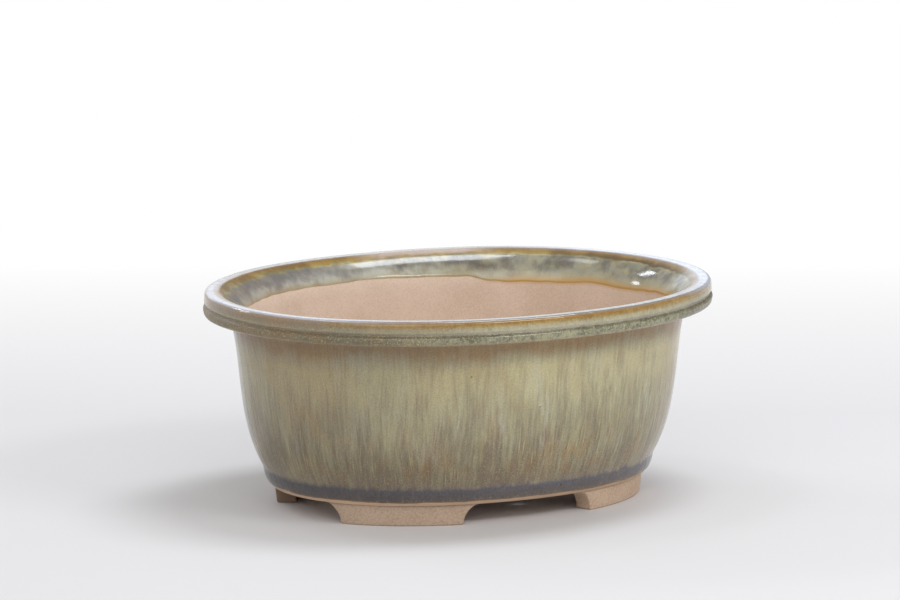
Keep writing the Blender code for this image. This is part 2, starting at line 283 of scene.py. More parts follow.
def ripples(flow):
    """Wet runs in the coat, nearly calm on the inner slope of the rim."""
    share = RIPPLE - (RIPPLE - INNER_RIPPLE) * smooth_step((flow[..., 2] - RIPPLE_END) / RIPPLE_FADE)
    place = flow / RIPPLE_SIZE
    return share * (noise(place, RIPPLE_SEED) + 0.5 * noise(place * 2.03, RIPPLE_SEED + 17))


def swept(runs):
    """Points, flow and reach of rows of the section carried round the oval, coat and all."""
    base, outward = oval(AROUND)
    line, tangent = SECTION.points(runs), SECTION.tangents(runs)
    shape = (len(runs), AROUND)
    place = base[None, :, :] - outward[None, :, :] * line[:, 0][:, None, None]
    points = np.dstack([place, np.broadcast_to(line[:, 1][:, None], shape)])
    normal = np.dstack([outward[None, :, :] * tangent[:, 1][:, None, None],
                        np.broadcast_to(tangent[:, 0][:, None], shape)])
    flow = np.dstack([np.broadcast_to(base[None, :, :], place.shape), np.broadcast_to(runs[:, None], shape)])
    reach = glaze_reach(flow)
    thick = coat_thickness(reach) * (1.0 + ripples(flow))
    return points + normal * (waves(points, WANDER) + thick - COAT)[..., None], flow, reach


# Reach of surfaces far out on the bare clay
BARE = -8.0 * MM


def hidden_row(inset, height, runs):
    """A row of a joint face, out of sight between two pieces."""
    base, outward = oval(AROUND)
    place = base - outward * inset * MM
    points = np.dstack([place[None], np.full((1, AROUND), height)])
    flow = np.dstack([base[None], np.full((1, AROUND), runs)])
    return points, flow, np.full((1, AROUND), BARE)


def joint_face(first, last, height, run):
    """Rows of a flat face between two insets in millimetres."""
    insets = np.linspace(first, last, 5)
    return [hidden_row(inset, height, run) for inset in insets]


def ring_mesh(name, parts, sharp_rows, material):
    """A closed mesh of rows that wrap round the oval and round the section."""
    points, flow, reach = (np.concatenate([part[k] for part in parts]) for k in range(3))
    rows, columns = points.shape[:2]
    i = np.arange(rows)[:, None]
    j = np.arange(columns)[None, :]
    k = (j + 1) % columns
    faces = np.stack([i * columns + j, i * columns + k,
                      (i + 1) % rows * columns + k, (i + 1) % rows * columns + j], axis=2)
    mesh = bpy.data.meshes.new(name)
    fill_mesh(mesh, points.reshape(-1, 3), faces.reshape(-1, 4))
    set_attributes(mesh, flow, reach)
    ends = np.zeros(len(mesh.edges) * 2, np.int32)
    mesh.edges.foreach_get("vertices", ends)
    ends = ends.reshape(-1, 2) // columns
    sharp = (ends[:, 0] == ends[:, 1]) & np.isin(ends[:, 0], np.array(sharp_rows) % rows)
    layer = mesh.attributes.new("sharp_edge", "BOOLEAN", "EDGE")
    layer.data.foreach_set("value", sharp)
    return finish_piece(mesh, material)


def fill_mesh(mesh, points, faces):
    count = len(faces)
    mesh.vertices.add(len(points))
    mesh.vertices.foreach_set("co", np.ascontiguousarray(points, np.float32).ravel())
    mesh.loops.add(count * 4)
    mesh.loops.foreach_set("vertex_index", np.ascontiguousarray(faces, np.int32).ravel())
    mesh.polygons.add(count)
    mesh.polygons.foreach_set("loop_start", np.arange(count, dtype=np.int32) * 4)
    mesh.polygons.foreach_set("use_smooth", np.ones(count, bool))
    mesh.update(calc_edges=True)
    mesh.validate()


def set_attributes(mesh, flow, reach):
    """Flow is the streaks' own space; reach is millimetres inside the edge of the coat."""
    layer = mesh.attributes.new("flow", "FLOAT_VECTOR", "POINT")
    layer.data.foreach_set("vector", np.ascontiguousarray(flow, np.float32).ravel())
    layer = mesh.attributes.new("reach", "FLOAT", "POINT")
    layer.data.foreach_set("value", np.ascontiguousarray(clipped(reach), np.float32).ravel())


def clipped(reach):
    return np.clip(reach, BARE, -BARE) / MM


def finish_piece(mesh, material):
    shape = bmesh.new()
    shape.from_mesh(mesh)
    if shape.calc_volume(signed=True) < 0:
        bmesh.ops.reverse_faces(shape, faces=shape.faces)
    shape.to_mesh(mesh)
    shape.free()
    mesh.materials.append(material)
    piece = bpy.data.objects.new(mesh.name, mesh)
    bpy.context.scene.collection.objects.link(piece)
    return piece


# Shader helpers
class Nodes:
    """A node tree, with short calls for the nodes used here."""

    def __init__(self, tree):
        self.tree = tree

    def put(self, socket, value):
        if isinstance(value, bpy.types.NodeSocket):
            self.tree.links.new(value, socket)
        else:
            socket.default_value = value

    def node(self, kind, inputs=(), **settings):
        node = self.tree.nodes.new("ShaderNode" + kind)
        for key, value in settings.items():
            setattr(node, key, value)
        for key, value in dict(inputs).items():
            self.put(node.inputs[key], value)
        return node

    def axis(self, vector, name):
        return self.node("SeparateXYZ", {"Vector": vector}).outputs[name]

    def vector_maths(self, operation, a, b):
        return self.node("VectorMath", {0: a, 1: b}, operation=operation).outputs

    def maths(self, operation, a, b, clamp=False):
        return self.node("Math", {0: a, 1: b}, operation=operation, use_clamp=clamp).outputs[0]

    def product(self, value, *factors):
        for factor in factors:
            value = self.maths("MULTIPLY", value, factor)
        return value

    def total(self, value, *others):
        for other in others:
            value = self.maths("ADD", value, other)
        return value

    def rest(self, share):
        return self.maths("SUBTRACT", 1.0, share)

    def swing(self, value, amount):
        """A noise centred on nought, times an amount."""
        return self.product(self.maths("SUBTRACT", value, 0.5), amount)

    def blend(self, *parts):
        return self.total(*[self.product(value, weight) for value, weight in parts])

    def streaks(self, vector, across, along, detail, shift=(0, 0, 0)):
        """Noise drawn out along the run; sizes in millimetres."""
        scale = (1000 / across, 1000 / across, 1000 / along)
        vector = self.node("Mapping", {"Vector": vector, "Location": shift, "Scale": scale}).outputs[0]
        return self.node("TexNoise", {"Vector": vector, "Scale": 1.0, "Detail": detail,
                                      "Roughness": NOISE_ROUGHNESS}).outputs["Fac"]

    def grains(self, vector, size, detail, shift=(0, 0, 0)):
        """Even noise of a size in millimetres."""
        return self.streaks(vector, size, size, detail, shift)

    def range(self, value, low, high, to_low=0.0, to_high=1.0):
        """The value mapped from low..high to to_low..to_high, and held at both ends."""
        return self.node("MapRange", {"Value": value, "From Min": low, "From Max": high,
                                      "To Min": to_low, "To Max": to_high}).outputs["Result"]

    def ramp(self, factor, stops):
        """A colour ramp from (place, colour) stops; a number stands for a grey."""
        node = self.node("ValToRGB", {"Fac": factor})
        elements = node.color_ramp.elements
        while len(elements) < len(stops):
            elements.new(0.5)
        for element, (place, colour) in zip(elements, stops):
            element.position = place
            if not isinstance(colour, tuple):
                colour = (colour, colour, colour)
            element.color = (*colour, 1.0)
        return node.outputs["Color"]

    def mix(self, factor, a, b, blend="MIX"):
        node = self.node("Mix", data_type="RGBA", blend_type=blend)
        self.put(node.inputs["Factor"], factor)
        self.put(node.inputs[6], a if isinstance(a, bpy.types.NodeSocket) else (*a, 1.0))
        self.put(node.inputs[7], b if isinstance(b, bpy.types.NodeSocket) else (*b, 1.0))
        return node.outputs[2]

    def tint(self, colour, name, *shares):
        """A colour mixed towards a named tone by the product of the shares."""
        return self.mix(self.product(*shares), colour, tone(name))

    def seen(self):
        """One for the rays by which a surface is seen: camera, mirror and glass rays."""
        rays = self.node("LightPath").outputs
        return self.maths("ADD", self.total(rays["Is Camera Ray"], rays["Is Glossy Ray"]),
                          rays["Is Transmission Ray"], clamp=True)


NOISE_ROUGHNESS = 0.55


class Shader(Nodes):
    """A material with one Principled BSDF."""

    def __init__(self, name):
        self.material = bpy.data.materials.new(name)
        self.material.use_nodes = True
        super().__init__(self.material.node_tree)
        self.surface = self.tree.nodes["Principled BSDF"]
        self.place = self.node("TexCoord").outputs["Object"]

    def set(self, socket, value):
        self.put(self.surface.inputs[socket], value)

    def set_bump(self, height, distance, strength):
        bump = self.node("Bump", {"Height": height, "Distance": distance, "Strength": strength})
        self.set("Normal", bump.outputs["Normal"])


def linear(red, green, blue):
    """The linear colour of an sRGB colour given from 0 to 255."""
    values = np.array([red, green, blue]) / 255.0
    return tuple(float(v) for v in np.where(values <= 0.04045, values / 12.92, ((values + 0.055) / 1.055) ** 2.4))


# Tones of the fired surfaces, as sRGB
TONES = {
    # clay, its grains, its flash beside the coat and the brown of a painted shade on the feet
    "buff": (216, 194, 176), "dune": (205, 182, 162), "fawn": (220, 195, 171), "toast": (202, 175, 150),
    "sand": (226, 210, 192), "iron": (156, 130, 108), "flash": (200, 160, 116), "foot_shade": (120, 96, 78),
    # lip along the edge of the coat
    "crust": (162, 126, 86), "comb": (188, 150, 84),
    # inner side of the rim, with the brown of a painted shade at its right end
    "blush": (216, 200, 190), "right_end_shade": (82, 64, 40), "slate": (138, 138, 146), "olive": (158, 148, 106),
    # outer side of the rim: a painted reflection, a brown for spots and for painted shade, mauve, and two tones of
    # painted shade
    "end_reflection": (198, 202, 216), "bark_and_shade": (112, 92, 64), "mauve": (156, 138, 122), "rim_side_shade": (84, 77, 54),
    "rim_right_shade": (112, 92, 30),
    # wall, dots and marks
    "haze": (184, 184, 172), "amber": (160, 128, 74), "umber": (128, 113, 92), "rust": (146, 108, 68),
    "husk": (172, 146, 100), "straw": (200, 190, 138), "pollen": (186, 184, 128), "ink": (64, 58, 60),
}


def tone(name):
    return linear(*TONES[name])


def clay_colour(s, light, dark, speck):
    """Buff clay with broad warm patches and sandy grains; speck is how strongly the grains show."""
    colour = s.mix(s.range(s.grains(s.place, 24, 4), 0.35, 0.65), tone(light), tone(dark))
    coarse, fine = s.grains(s.place, 0.85, 1), s.grains(s.place, 0.5, 1)
    colour = s.tint(colour, "sand", s.range(coarse, 0.50, 0.75), speck)
    colour = s.tint(colour, "iron", s.range(coarse, 0.50, 0.25), speck)
    colour = s.tint(colour, "iron", s.range(fine, 0.42, 0.26), speck)
    return colour, s.blend((coarse, 0.6), (fine, 0.4))


def clay_finish():
    """Bare clay of the feet, darkened with painted shade at the left and more so at the back."""
    s = Shader("bare_foot_clay")
    colour, grain = clay_colour(s, "fawn", "toast", 0.45)
    # painted shade: the two left feet darker, the back one most
    left = s.range(s.axis(s.place, "X"), 0.0, -0.03)
    back = s.range(s.axis(s.place, "Y"), -0.03, 0.03, 0.33, 0.82)
    s.set("Base Color", s.tint(colour, "foot_shade", left, back))
    s.set("Roughness", 0.88)
    s.set_bump(s.total(s.product(grain, 0.5), s.grains(s.place, 2.4, 3)), 0.00025, 0.8)
    return s.material


# Length of run that the ramps of the glaze cover
RUN_SPAN = 0.140

# Glaze colours by run length in millimetres, as sRGB: the ground, and the runs over it
ZONES = (
    # base band of the slab
    (1.5, (123, 104, 78), (150, 127, 91)),
    (2.8, (100, 92, 90), (112, 103, 98)),
    (8.8, (90, 86, 92), (98, 94, 100)),
    # wall
    (11.0, (133, 117, 102), (160, 153, 125)),
    (24.0, (126, 115, 93), (170, 166, 131)),
    (48.0, (135, 125, 101), (181, 176, 141)),
    (60.0, (148, 135, 107), (191, 183, 142)),
    (69.0, (152, 137, 106), (191, 181, 138)),
    (74.0, (150, 136, 102), (178, 171, 135)),
    # the wall turns brown under the rim
    (79.0, (144, 115, 74), (162, 138, 94)),
    (92.8, (138, 112, 76), (156, 134, 96)),
    # the lower edge of the rim lightened as a painted reflection, its speckled lower band, and the groove darkened
    # with painted shade
    (93.6, (160, 141, 112), (180, 163, 131)),
    (94.5, (160, 141, 112), (180, 163, 131)),
    (95.2, (143, 133, 109), (170, 158, 127)),
    (96.4, (96, 96, 79), (162, 160, 133)),
    (98.2, (95, 96, 76), (162, 159, 129)),
    (99.0, (92, 88, 76), (130, 126, 105)),
    (99.9, (92, 88, 76), (130, 126, 105)),
    # upper band, lightened along its lower edge as a painted reflection, then amber shoulder and flat top
    (101.0, (190, 183, 162), (204, 197, 176)),
    (102.6, (170, 163, 136), (186, 179, 151)),
    (103.6, (153, 144, 113), (182, 175, 143)),
    (104.6, (148, 117, 62), (176, 145, 80)),
    (106.3, (150, 114, 58), (176, 140, 76)),
    (107.6, (138, 134, 129), (138, 134, 129)),
    (111.6, (138, 134, 129), (138, 134, 129)),
    # inner slope: amber, green, slate, and pale down to the edge of the coat
    (114.5, (128, 95, 47), (161, 123, 60)),
    (117.0, (131, 111, 69), (164, 145, 86)),
    (118.2, (130, 130, 102), (181, 169, 125)),
    (120.4, (106, 102, 90), (149, 146, 125)),
    (122.0, (111, 108, 105), (153, 152, 138)),
    (125.5, (146, 141, 126), (186, 186, 173)),
    (128.6, (166, 155, 128), (180, 171, 142)),
)
# Run length that the inner edge of the coat stands for, in millimetres
EDGE_ZONE = 128.5

# Marks on the coat: place round the oval, run length, radius, tone; the places are so many to the whole round
SPOT_PLACES = 1400
SPOTS = ((960, 66.6, 0.75, "bark_and_shade"), (1037, 50.4, 1.1, "haze"), (1037, 49.8, 0.6, "bark_and_shade"), (1079, 7.2, 0.9, "ink"))


class GlazeShader(Shader):
    """A material with the fields by which the glaze's tones are laid out.

    Run and x are in metres, reach is in millimetres, and zone is a share of RUN_SPAN.
    """

    def __init__(self, name):
        super().__init__(name)
        self.flow = self.node("Attribute", attribute_name="flow").outputs["Vector"]
        self.reach = self.node("Attribute", attribute_name="reach").outputs["Fac"]
        self.run = self.axis(self.flow, "Z")
        self.x = self.axis(self.place, "X")
        # the runs wander a little on their way down
        stretched = self.node("Mapping", {"Vector": self.flow, "Scale": (1, 1, 0.6)}).outputs[0]
        drift = self.node("TexNoise", {"Vector": stretched, "Scale": 45.0, "Detail": 1.0}).outputs["Color"]
        drift = self.vector_maths("SUBTRACT", drift, (0.5, 0.5, 0.5))["Vector"]
        drift = self.vector_maths("MULTIPLY", drift, (0.006, 0.006, 0.006))["Vector"]
        self.wandering = self.vector_maths("ADD", self.flow, drift)["Vector"]
        self.hair = self.streaks(self.wandering, 0.8, 9, 2)
        self.fine = self.streaks(self.wandering, 1.3, 15, 2)
        self.middle = self.streaks(self.wandering, 3.2, 24, 2)
        self.broad = self.streaks(self.wandering, 9, 30, 2)
        self.patch = self.grains(self.wandering, 26, 2)
        self.zone = self.build_zone()
        # the inner slope of the rim, the two ends of the pot, and the dull lower band there, which is also darkened
        # with painted shade
        self.slope = self.range(self.run, 0.112, 0.116)
        self.ends = self.range(self.maths("ABSOLUTE", self.x, 0.0), 0.074, 0.108)
        self.dull_and_shaded = self.product(self.band(94.6, 95.5, 100.5, 101.5, 0.50),
                                 self.range(self.x, -0.02, 0.02, 1.25, 1.0), self.ends)

    def build_zone(self):
        """The place in ZONES: the run, or near the inner edge of the coat the distance to that edge."""
        in_coat = self.range(self.run, 0.1175, 0.1205)
        from_edge = self.product(self.maths("SUBTRACT", EDGE_ZONE, self.reach), MM)
        zone = self.total(self.run, self.product(in_coat, self.maths("SUBTRACT", from_edge, self.run)))
        # the rim's inner bands sit a little further in on the right
        tilt = self.product(self.range(self.run, 0.108, 0.111), self.range(self.run, 0.119, 0.115, 0.0, -0.009))
        zone = self.total(zone, self.product(self.x, tilt))
        # on the wall the borders drip, on the inner slope they are blotched
        drip = self.total(self.swing(self.middle, 0.0050), self.swing(self.broad, 0.0060))
        drip = self.product(drip, self.range(self.run, 0.092, 0.080, 0.0, 0.45))
        under_rim = self.product(self.range(self.run, 0.062, 0.072), self.range(self.run, 0.090, 0.082))
        drip = self.total(drip, self.product(self.swing(self.patch, 0.016), under_rim))
        blot = self.total(self.swing(self.grains(self.place, 11, 2), 0.0075),
                          self.swing(self.grains(self.place, 3.4, 2), 0.0035))
        blot = self.product(blot, self.range(self.run, 0.112, 0.118, 0.0, 0.9))
        return self.maths("DIVIDE", self.total(zone, self.total(drip, blot)), RUN_SPAN)

    def zones(self, *stops):
        """A ramp of numbers by zone; places in millimetres of run."""
        return self.ramp(self.zone, [(place * MM / RUN_SPAN, value) for place, value in stops])

    def band(self, start, full, last, end, strength=1.0):
        """A stretch of the zones that fades in and out."""
        return self.zones((start, 0.0), (full, strength), (last, strength), (end, 0.0))


def streaked_ground(s):
    """Runs over the ground: streaked on the wall, mottled on the rim and the base band."""
    ground, runs = (s.ramp(s.zone, [(row[0] * MM / RUN_SPAN, linear(*row[k])) for row in ZONES]) for k in (1, 2))
    balance = s.zones((8, 0.50), (12, 0.44), (30, 0.46), (48, 0.53), (60, 0.58), (69, 0.60), (77, 0.47),
                      (95, 0.48), (97, 0.52), (104, 0.55), (106, 0.46), (116, 0.50), (121, 0.48), (126, 0.58))
    streak = s.blend((s.hair, 0.12), (s.fine, 0.26), (s.middle, 0.32), (s.broad, 0.30))
    mottle = s.blend((s.grains(s.place, 1.5, 2), 0.42), (s.grains(s.place, 6.0, 2), 0.43), (s.hair, 0.15))
    clouds = s.blend((s.grains(s.place, 13, 2), 0.62), (s.grains(s.place, 4.5, 2), 0.28), (s.hair, 0.10))
    mottle = s.total(mottle, s.product(s.slope, s.maths("SUBTRACT", clouds, mottle)))
    even = s.maths("MAXIMUM", s.range(s.run, 0.078, 0.086), s.range(s.run, 0.0115, 0.0085))
    streak = s.total(s.product(streak, s.rest(even)), s.product(mottle, even))
    streak = s.total(streak, s.product(s.slope, s.swing(clouds, 0.5)))
    share = s.total(streak, s.swing(s.patch, 0.22), balance)
    return s.mix(s.range(share, 0.88, 1.12), ground, runs)


def tint_inner_slope(s, glaze):
    """Bands that pale at the middle of the back, darken to the right with painted shade, and turn slate to the left.
    """
    pale = s.zones((110.5, 0.0), (113, 0.75), (115, 0.6), (117, 0.1), (118, 0.0))
    glaze = s.tint(glaze, "blush", s.range(s.x, -0.008, 0.014), s.range(s.x, 0.070, 0.052), pale)
    # painted shade: the amber band of the inner slope darker at the right end
    glaze = s.tint(glaze, "right_end_shade", s.band(114.0, 116.2, 117.8, 119.0, 0.85), s.range(s.x, 0.075, 0.112))
    slate = s.zones((118.5, 0.0), (120, 0.35), (123, 0.35), (126, 0.1))
    glaze = s.tint(glaze, "slate", slate, s.range(s.x, 0.010, -0.030))
    return s.tint(glaze, "olive", s.zones((121, 0.0), (124, 0.6), (129, 0.6)), s.range(s.x, 0.010, 0.080))


def tint_outer_rim(s, glaze):
    """A painted bluish reflection on the flat top and a dull lower band darkened with painted shade at both ends,
    mauve far left, and painted shade that darkens the bands towards both sides.
    """
    # painted reflection: the flat top pale and bluish at both ends, at the left end only on the flat
    bare = s.product(s.zones((106.2, 1.0), (107.2, 0.0)), s.range(s.x, 0.02, -0.02))
    glaze = s.tint(glaze, "end_reflection", s.band(105.2, 106.3, 111, 112.5, 0.85), s.rest(bare), s.ends)
    # painted shade: the dull lower band at both ends darkened, more at the left
    glaze = s.tint(glaze, "bark_and_shade", s.dull_and_shaded)
    glaze = s.tint(glaze, "mauve", s.band(102, 103.5, 106.2, 107, 0.75), s.range(s.x, -0.103, -0.108))
    # painted shade: the rim's bands darker towards both sides, most at the left, and the lower band darker still near
    # the left end
    bands = s.zones((94, 0.0), (95.5, 1.0), (103, 0.9), (106, 0.35), (107, 0.0))
    left, right = s.range(s.x, -0.035, -0.080, 0.0, 0.44), s.range(s.x, 0.045, 0.095, 0.0, 0.24)
    glaze = s.tint(glaze, "rim_side_shade", bands, s.maths("MAXIMUM", left, right))
    left = s.product(s.range(s.x, -0.072, -0.088, 0.0, 0.42), s.range(s.x, -0.112, -0.106))
    glaze = s.tint(glaze, "rim_side_shade", s.band(95.3, 96.2, 100.4, 101.6), left)
    # painted shade: the upper band and shoulder darker and less blue towards the right
    return s.tint(glaze, "rim_right_shade", s.band(100.4, 101.2, 104.6, 106), s.range(s.x, 0.055, 0.095, 0.0, 0.17))


def tint_wall(s, glaze):
    """Clouds, a toasted right end, light threads and dark spikes."""
    wall = s.product(s.range(s.run, 0.012, 0.030), s.range(s.run, 0.084, 0.070))
    milk = s.product(s.range(s.streaks(s.place, 12, 30, 3), 0.50, 0.68), s.range(s.fine, 0.40, 0.60))
    glaze = s.tint(glaze, "haze", milk, wall, 0.45)
    ochre = s.product(s.range(s.grains(s.place, 34, 2, (3, 1, 7)), 0.50, 0.68), s.range(s.middle, 0.36, 0.60))
    glaze = s.tint(glaze, "amber", ochre, wall, 0.35)
    # brown where the coat ran thin
    thin = s.product(s.range(s.streaks(s.place, 7, 22, 3), 0.46, 0.64), s.range(s.run, 0.060, 0.020, 0.10, 0.60))
    thin = s.maths("MAXIMUM", thin, s.range(s.x, 0.000, -0.100, 0.0, 0.30))
    brown = s.mix(s.range(s.patch, 0.44, 0.60), tone("umber"), tone("rust"))
    glaze = s.mix(s.product(thin, s.range(s.run, 0.010, 0.018)), glaze, brown)
    glaze = s.tint(glaze, "husk", s.range(s.x, 0.060, 0.118, 0.0, 0.42), wall)
    thread = s.range(s.streaks(s.wandering, 1.0, 13, 1), 0.62, 0.75)
    where = s.zones((9.5, 0.0), (12, 0.34), (30, 0.50), (46, 0.38), (70, 0.0))
    glaze = s.tint(glaze, "straw", thread, where)
    # the spikes rise from the foot of the wall, more of them to the right
    spike = s.range(s.streaks(s.wandering, 1.9, 24, 1), 0.40, 0.28)
    where = s.zones((10, 0.35), (26, 0.60), (50, 0.25), (76, 0.0))
    return s.tint(glaze, "umber", spike, where, s.range(s.x, -0.02, 0.08, 1.0, 1.5))


def add_marks(s, glaze):
    """Single marks, pale dots low on the wall and on the lower band, and fine grain all over."""
    places = oval(SPOT_PLACES)[0]
    for place, height, radius, name in SPOTS:
        away = s.vector_maths("DISTANCE", s.flow, (*places[place], height * MM))["Value"]
        glaze = s.tint(glaze, name, s.range(away, radius * MM, 0.4 * radius * MM, 0.0, 0.75))
    dots = s.range(s.grains(s.place, 0.75, 1), 0.56, 0.72)
    where = s.zones((2, 0.0), (3.2, 0.45), (5, 0.06), (8.5, 0.06), (12, 0.42), (28, 0.22), (60, 0.08),
                    (93, 0.1), (96, 0.6), (99, 0.6), (104, 0.3), (107, 0.0))
    glaze = s.tint(glaze, "pollen", dots, where)
    grain = s.range(s.grains(s.place, 0.55, 1), 0.3, 0.7, -1.0, 1.0)
    light = s.total(s.product(grain, s.range(s.slope, 0.0, 1.0, 0.14, 0.05)), 1.0)
    # the coat is thinner and darker at the left end of the wall
    deepest = s.range(s.run, 0.012, 0.009, 0.22, 0.36)
    shade = s.product(s.range(s.x, -0.010, -0.090, 0.0, deepest), s.range(s.run, 0.092, 0.080))
    light = s.product(light, s.rest(shade))
    return s.mix(1.0, glaze, s.node("CombineColor", {0: light, 1: light, 2: light}).outputs[0], "MULTIPLY")


def glaze_finish():
    """Streaked ash glaze where the piece is coated, bare clay where it isn't."""
    s = GlazeShader("ash_glaze_on_stoneware")
    glaze = add_marks(s, tint_wall(s, tint_outer_rim(s, tint_inner_slope(s, streaked_ground(s)))))
    clay, grain = clay_colour(s, "buff", "dune", 0.20)

    # amber lip along the edge of the coat, wide inside on the right, and a flashed halo on the clay beside it
    inside = s.range(s.run, 0.050, 0.060)
    wide = s.product(inside, s.range(s.x, 0.052, 0.070, 0.0, 2.1))
    warm = s.product(inside, s.range(s.x, 0.070, 0.052, 0.0, 0.55))
    lip = s.range(s.reach, s.total(wide, s.range(inside, 0.0, 1.0, 1.3, 1.7)), s.product(wide, 0.5))
    strength = s.maths("SUBTRACT", s.range(inside, 0.0, 1.0, 0.70, 0.92), s.product(warm, 1.2))
    glaze = s.mix(s.product(lip, strength), glaze, s.mix(inside, tone("crust"), tone("comb")))
    halo = s.range(s.reach, s.range(inside, 0.0, 1.0, -4.5, -1.6), -0.4)
    clay = s.tint(clay, "flash", halo, s.maths("SUBTRACT", 0.60, warm))
    glazed = s.range(s.reach, -0.08, 0.10)
    s.set("Base Color", s.mix(glazed, clay, glaze))

    # the coat is calm from the flat of the rim inwards
    calm = s.range(s.run, 0.104, 0.107)
    gloss = s.range(s.grains(s.wandering, 8, 3), 0.3, 0.7, 0.09, 0.18)
    gloss = s.total(gloss, s.product(calm, 0.01), s.product(s.dull_and_shaded, 0.5))
    s.set("Roughness", s.range(glazed, 0.0, 1.0, 0.86, gloss))
    s.set("IOR", 1.6)
    peel = s.total(s.grains(s.place, 3.0, 2), s.product(s.fine, 0.7))
    peel = s.product(peel, s.range(calm, 0.0, 1.0, 0.10, 0.045), glazed)
    s.set_bump(s.total(peel, s.product(s.rest(glazed), grain)), 0.0002, 0.7)
    return s.material


# Pieces
# Insets of the joint faces between wall and rim and between slab and wall, in millimetres, and how far each
# face is drawn back from the joint
NECK_FACE = (13.6, 19.2)
SLAB_FACE = (28.2, 37.8)
FACE_GAP = 0.06 * MM


def build_rim(material):
    runs = SECTION.rows(NECK_JOINT, INNER_NECK_JOINT, 0.62 * MM, (INNER_GLAZE_LINE, 1.8 * MM, 0.25 * MM))
    under = joint_face(*NECK_FACE[::-1], NECK + FACE_GAP, INNER_NECK_JOINT)
    return ring_mesh("rim_glazed", [swept(runs)] + under, (0, len(runs) - 1), material)


def build_wall(material):
    outside = SECTION.rows(SLAB_JOINT, NECK_JOINT, 0.85 * MM)
    inside = SECTION.rows(INNER_NECK_JOINT, SECTION.run[-1], 2.2 * MM)
    over = joint_face(*NECK_FACE, NECK - FACE_GAP, NECK_JOINT)
    under = joint_face(*SLAB_FACE[::-1], SLAB_TOP + FACE_GAP, SECTION.run[-1])
    sharp_rows = np.cumsum([0, len(outside) - 1, len(over) + 1, len(inside) - 1])
    return ring_mesh("pot_wall_glazed", [swept(outside)] + over + [swept(inside)] + under, sharp_rows, material)


# Slab: heights of its two faces and insets of their edges
SLAB_FLOOR = SLAB_TOP - 0.03 * MM
SLAB_UNDERSIDE = FOOT_TOP + 0.02 * MM
FLOOR_INSET, UNDERSIDE_INSET = 28.6 * MM, 32.6 * MM
# Drain and wire holes: x, y, radius and soft edge in millimetres, points round
HOLES = [(x, 0, 11.0, 0.9, 64) for x in (-45, 45)] + [(x, y, 2.5, 0.5, 24) for x in (-16, 16) for y in (-32, 32)]


def hole_rings(x, y, radius, edge, count):
    """Rings of a hole from the inside floor down to the underside, with softened edges."""
    turn = np.linspace(0.0, 2.0 * pi, count + 1)[:-1]
    quarter = np.linspace(0.0, 0.5 * pi, 5)
    down = [(radius + edge * (1.0 - sin(q)), SLAB_FLOOR - edge * (1.0 - cos(q))) for q in quarter]
    up = [(r, SLAB_FLOOR + SLAB_UNDERSIDE - z) for r, z in down]
    return [np.stack([x + r * np.cos(turn), y + r * np.sin(turn), np.full(count, z)], axis=1)
            for r, z in down + up[::-1]]


def build_slab(material):
    """The base slab: coated round its edge, with bare faces in which the holes are cut."""
    runs = SECTION.rows(0.0, SLAB_JOINT, 0.42 * MM, (OUTER_GLAZE_LINE, 1.3 * MM, 0.2 * MM))
    points, flow, reach = swept(runs)
    shape = bmesh.new()
    layers = shape.verts.layers
    flow_layer, reach_layer = layers.float_vector.new("flow"), layers.float.new("reach")
    grid = []
    for row in zip(points, flow, reach):
        ring = []
        for place, there, depth in zip(*row):
            vert = shape.verts.new(place)
            vert[flow_layer] = Vector(there)
            vert[reach_layer] = clipped(depth)
            ring.append(vert)
        grid.append(ring)
    join_rings(shape, grid)
    base, outward = oval(AROUND)
    top_ring = ring_at(shape, base - outward * FLOOR_INSET, SLAB_FLOOR)
    bottom_ring = ring_at(shape, base - outward * UNDERSIDE_INSET, SLAB_UNDERSIDE)
    join_rings(shape, [grid[-1], top_ring])
    join_rings(shape, [bottom_ring, grid[0]])
    sharp = loop_edges(grid[-1])
    tops, bottoms = loop_edges(top_ring), loop_edges(bottom_ring)
    for x, y, radius, soft, count in HOLES:
        rings = [[shape.verts.new(p) for p in ring]
                 for ring in hole_rings(x * MM, y * MM, radius * MM, soft * MM, count)]
        join_rings(shape, rings)
        tops += loop_edges(rings[0])
        bottoms += loop_edges(rings[-1])
    for edges in (tops, bottoms):
        bmesh.ops.triangle_fill(shape, edges=edges, use_beauty=True, use_dissolve=False)
    # the vertices that were given no reach lie on bare faces
    for vert in shape.verts:
        if vert[reach_layer] == 0.0:
            vert[reach_layer] = clipped(BARE)
    bmesh.ops.recalc_face_normals(shape, faces=shape.faces)
    for face in shape.faces:
        face.smooth = True
    for edge in sharp:
        edge.smooth = False
    mesh = bpy.data.meshes.new("floor_slab_fired")
    shape.to_mesh(mesh)
    shape.free()
    return finish_piece(mesh, material)


def ring_at(shape, plan, height):
    return [shape.verts.new((x, y, height)) for x, y in plan]


def join_rings(shape, rings):
    count = len(rings[0])
    for low, high in zip(rings, rings[1:]):
        for j in range(count):
            k = (j + 1) % count
            shape.faces.new((low[j], low[k], high[k], high[j]))


def loop_edges(ring):
    edges = []
    for a, b in zip(ring, ring[1:] + ring[:1]):
        edges.append(next(edge for edge in a.link_edges if edge.other_vert(a) is b))
    return edges


# Feet, in millimetres: a block that follows the oval, with coved ends under the slab
FOOT_INSET_TOP, FOOT_INSET_GROUND = 33.1, 34.0
FOOT_LENGTH, FOOT_THICKNESS, FOOT_HEIGHT = 46.0, 9.5, FOOT_TOP / MM
ARCH_X, ARCH_Y, ARCH_RADIUS = 34.8, 29.8, 10.35
FOOT_EDGE = 0.8
SOLE_WIDTH = 1.2


def cove(height):
    """How far the end of a foot spreads towards the opening at a height."""
    return ARCH_RADIUS - np.sqrt(ARCH_RADIUS ** 2 - height ** 2)


def graded(length, edge, step):
    """Places from 0 to length, close together within the rounded edges."""
    near = np.linspace(0.0, edge * 1.2, 6)
    middle = np.linspace(edge * 1.2, length - edge * 1.2, max(2, int(length / step)))
    return np.concatenate([near[:-1], middle, length - near[::-1][1:]])


